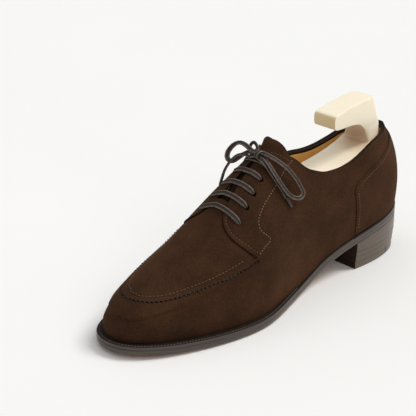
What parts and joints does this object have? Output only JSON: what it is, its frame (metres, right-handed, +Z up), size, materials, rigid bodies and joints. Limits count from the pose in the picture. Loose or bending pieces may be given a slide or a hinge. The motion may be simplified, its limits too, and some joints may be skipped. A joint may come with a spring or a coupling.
{
  "type": "derby shoe with shoe tree",
  "caption": "Left suede apron-front derby shoe with open lacing, tied laces, welted sole, stacked heel and a lift-out shoe tree.",
  "frame": {"origin": "on the ground, under the middle of the shoe", "axes": "+X towards the toe, +Y towards the outer side of the left foot, +Z up"},
  "size_m": [0.2994, 0.0975, 0.131],
  "materials": {
    "suede": "dark brown suede with a fine nap",
    "binding": "satin dark brown edge leather",
    "lining": "golden tan calf lining, satin",
    "stiffener": "pale stiffening board, matt",
    "sole_leather": "dark waxed sole edge, semi-gloss",
    "welt_leather": "black welt, satin",
    "heel_leather": "waxed stacked leather, semi-gloss",
    "rubber": "black moulded rubber",
    "nail_brass": "plain brass",
    "insole_leather": "natural veg leather",
    "cork": "ground cork",
    "steel": "spring steel",
    "lace": "flat waxed grey-brown lace",
    "aglet": "dark glossy tip",
    "tree": "cream lacquer, satin"
  },
  "bodies": {
    "shoe": {"outsole": "sole_leather", "welt": "welt_leather", "heel_rand": "welt_leather", "heel_wedge": "heel_leather", "heel_lift_1": "heel_leather", "heel_lift_2": "heel_leather", "heel_lift_3": "heel_leather", "toplift_leather": "heel_leather", "toplift_rubber": "rubber", "heel_nails": "nail_brass", "insole": "insole_leather", "insole_rib": "stiffener", "cork_filler": "cork", "shank": "steel", "sock_liner": "lining", "side_panel": "suede", "apron": "suede", "counter_foxing": "suede", "back_strip": "suede", "tongue": "suede", "topline_binding": "binding", "vamp_lining": "lining", "quarter_lining": "lining", "toe_puff": "stiffener", "heel_counter": "stiffener", "facing_stays": "stiffener", "lace_bars": "lace", "lace_knot": "lace", "lace_loop_lateral": "lace", "lace_loop_medial": "lace", "lace_tail_lateral": "lace", "lace_tail_medial": "lace", "aglets": "aglet", "tree_forepart": "tree"},
    "tree_heel_part": {"tree_heel": "tree"}
  },
  "joints": [
    {"name": "tree_lift", "type": "slide", "parent": "shoe", "child": "tree_heel_part", "axis": [0, 0, 1], "range_m": [0, 0.13]}
  ]
}
